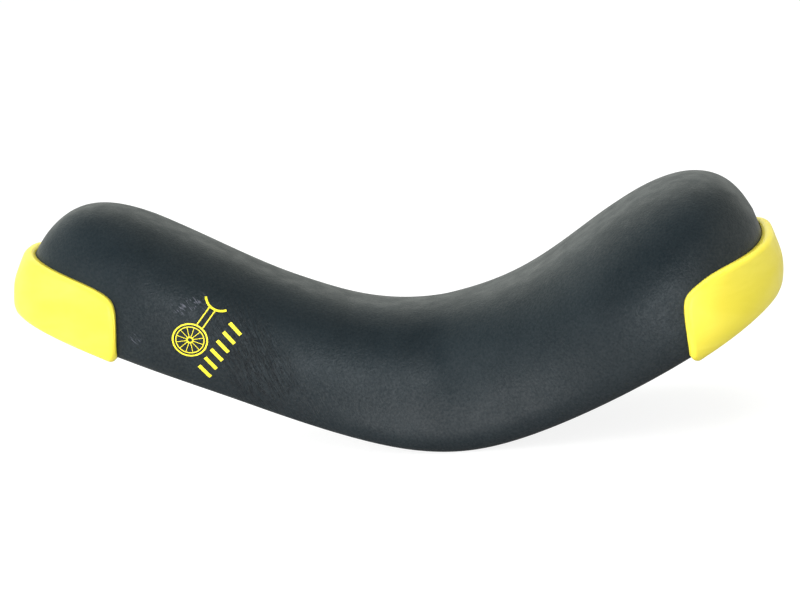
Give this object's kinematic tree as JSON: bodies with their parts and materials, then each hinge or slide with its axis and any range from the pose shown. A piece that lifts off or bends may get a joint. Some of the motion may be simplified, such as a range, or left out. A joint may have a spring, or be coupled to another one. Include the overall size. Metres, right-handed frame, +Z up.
{
  "type": "unicycle saddle",
  "caption": "Curved padded saddle with raised ends, a stapled vinyl cover on a moulded base, a plastic bumper at each end and bolts for a seatpost plate.",
  "frame": {"origin": "centre of the four-bolt pattern, on the flat underside face that the seatpost plate is clamped to", "axes": "+X to the rear, +Y to the rider's right when facing -X, +Z up through the pad"},
  "size_m": [0.3801, 0.148, 0.1289],
  "materials": {
    "vinyl": "fine grained black vinyl, soft matte",
    "foam": "open cell polyurethane foam",
    "black_plastic": "moulded black polypropylene",
    "yellow_plastic": "smooth satin yellow polypropylene",
    "yellow_print": "thin printed yellow ink",
    "zinc": "bright zinc plating",
    "steel": "plain mild steel"
  },
  "bodies": {
    "root": {"captive_nut_front_left": "zinc", "captive_nut_front_right": "zinc", "captive_nut_rear_left": "zinc", "captive_nut_rear_right": "zinc", "cover_staple_left_01": "steel", "cover_staple_left_02": "steel", "cover_staple_left_03": "steel", "cover_staple_left_04": "steel", "cover_staple_left_05": "steel", "cover_staple_left_06": "steel", "cover_staple_left_07": "steel", "cover_staple_left_08": "steel", "cover_staple_left_09": "steel", "cover_staple_left_10": "steel", "cover_staple_left_11": "steel", "cover_staple_left_12": "steel", "cover_staple_right_01": "steel", "cover_staple_right_02": "steel", "cover_staple_right_03": "steel", "cover_staple_right_04": "steel", "cover_staple_right_05": "steel", "cover_staple_right_06": "steel", "cover_staple_right_07": "steel", "cover_staple_right_08": "steel", "cover_staple_right_09": "steel", "cover_staple_right_10": "steel", "cover_staple_right_11": "steel", "cover_staple_right_12": "steel", "foam_pad": "foam", "front_bumper": "yellow_plastic", "front_bumper_screw_left_1": "zinc", "front_bumper_screw_left_2": "zinc", "front_bumper_screw_right_1": "zinc", "front_bumper_screw_right_2": "zinc", "rear_bumper": "yellow_plastic", "rear_bumper_screw_left_1": "zinc", "rear_bumper_screw_left_2": "zinc", "rear_bumper_screw_right_1": "zinc", "rear_bumper_screw_right_2": "zinc", "seat_base": "black_plastic", "seat_cover": "vinyl", "stiffener_plate": "steel"},
    "washer_front_left": {"mount_washer_front_left": "zinc"},
    "bolt_front_left": {"mount_bolt_front_left": "zinc"},
    "washer_front_right": {"mount_washer_front_right": "zinc"},
    "bolt_front_right": {"mount_bolt_front_right": "zinc"},
    "washer_rear_left": {"mount_washer_rear_left": "zinc"},
    "bolt_rear_left": {"mount_bolt_rear_left": "zinc"},
    "washer_rear_right": {"mount_washer_rear_right": "zinc"},
    "bolt_rear_right": {"mount_bolt_rear_right": "zinc"}
  },
  "joints": [
    {"name": "bolt_drop_front_left", "type": "slide", "parent": "root", "child": "washer_front_left", "axis": [0, 0, -1], "range_m": [-0.0034, 0.0065]},
    {"name": "bolt_turn_front_left", "type": "hinge", "parent": "washer_front_left", "child": "bolt_front_left", "pos_m": [-0.05, -0.022, 0], "axis": [0, 0, -1], "range_deg": [-1230, 2346]},
    {"name": "bolt_drop_front_right", "type": "slide", "parent": "root", "child": "washer_front_right", "axis": [0, 0, -1], "range_m": [-0.0034, 0.0065]},
    {"name": "bolt_turn_front_right", "type": "hinge", "parent": "washer_front_right", "child": "bolt_front_right", "pos_m": [-0.05, 0.022, 0], "axis": [0, 0, -1], "range_deg": [-1230, 2346]},
    {"name": "bolt_drop_rear_left", "type": "slide", "parent": "root", "child": "washer_rear_left", "axis": [0, 0, -1], "range_m": [-0.0034, 0.0065]},
    {"name": "bolt_turn_rear_left", "type": "hinge", "parent": "washer_rear_left", "child": "bolt_rear_left", "pos_m": [0.05, -0.022, 0], "axis": [0, 0, -1], "range_deg": [-1230, 2346]},
    {"name": "bolt_drop_rear_right", "type": "slide", "parent": "root", "child": "washer_rear_right", "axis": [0, 0, -1], "range_m": [-0.0034, 0.0065]},
    {"name": "bolt_turn_rear_right", "type": "hinge", "parent": "washer_rear_right", "child": "bolt_rear_right", "pos_m": [0.05, 0.022, 0], "axis": [0, 0, -1], "range_deg": [-1230, 2346]}
  ],
  "couplings": [
    {"joint": "bolt_turn_front_left", "follows": "bolt_drop_front_left", "rad_per_m": 6283.2},
    {"joint": "bolt_turn_front_right", "follows": "bolt_drop_front_right", "rad_per_m": 6283.2},
    {"joint": "bolt_turn_rear_left", "follows": "bolt_drop_rear_left", "rad_per_m": 6283.2},
    {"joint": "bolt_turn_rear_right", "follows": "bolt_drop_rear_right", "rad_per_m": 6283.2}
  ]
}
